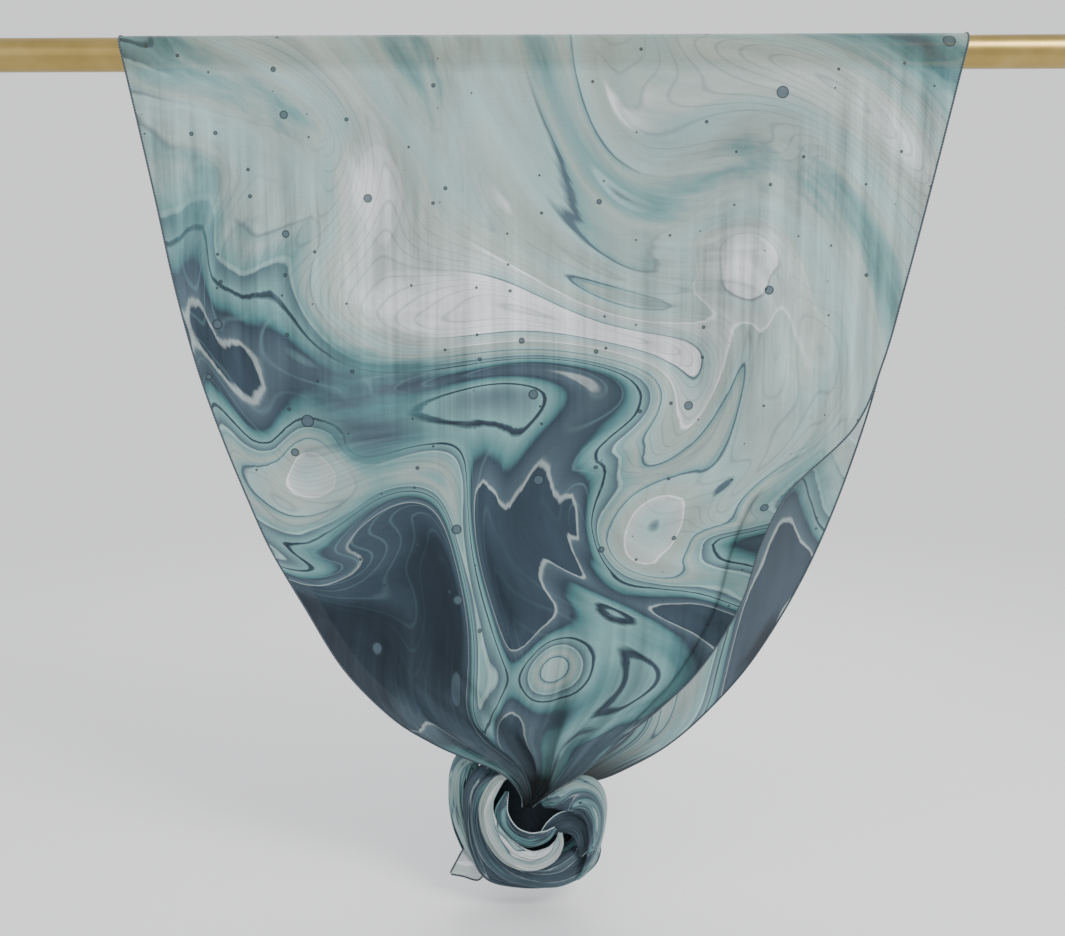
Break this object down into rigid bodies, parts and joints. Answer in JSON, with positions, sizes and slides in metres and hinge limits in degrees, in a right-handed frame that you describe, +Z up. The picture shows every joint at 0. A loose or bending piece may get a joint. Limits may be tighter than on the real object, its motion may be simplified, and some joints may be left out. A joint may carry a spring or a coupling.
{
  "type": "modal hijab scarf folded over a garment rail rod",
  "caption": "Sheer rectangular scarf folded over a round brass rail rod, its front and back halves gathered below into one twisted rosette knot with a free corner",
  "frame": {"origin": "on the rod's axis, at the middle of the cloth's width", "axes": "+X along the rod to the right as seen from the front, +Z up, the front half of the cloth facing -Y"},
  "size_m": [0.94, 0.0711, 0.746],
  "materials": {
    "cloth": "soft, slightly sheer",
    "cloth_deep": "soft, gathered",
    "cloth_pale": "soft, gathered",
    "brass": "satin"
  },
  "bodies": {
    "root": {"rod": "brass", "over_rod": "cloth", "front_half": "cloth", "front_edge_turned_under": "cloth", "back_half": "cloth", "neck_front_outer_left": "cloth_deep", "neck_front_left": "cloth_deep", "neck_front_tongue": "cloth_deep", "neck_front_right": "cloth_deep", "neck_back_left": "cloth_deep", "neck_back_middle": "cloth_deep", "neck_back_right": "cloth_deep", "turn_outer_left": "cloth_deep", "turn_outer_low": "cloth_deep", "turn_middle": "cloth_deep", "turn_crescent": "cloth_pale", "turn_lip": "cloth_deep", "turn_right": "cloth_deep", "turn_right_fold": "cloth_deep", "turn_back_outer": "cloth_deep", "turn_back_inner": "cloth_deep", "turn_back_middle": "cloth_deep", "knot_core": "cloth_deep", "corner_tail": "cloth"}
  },
  "joints": []
}
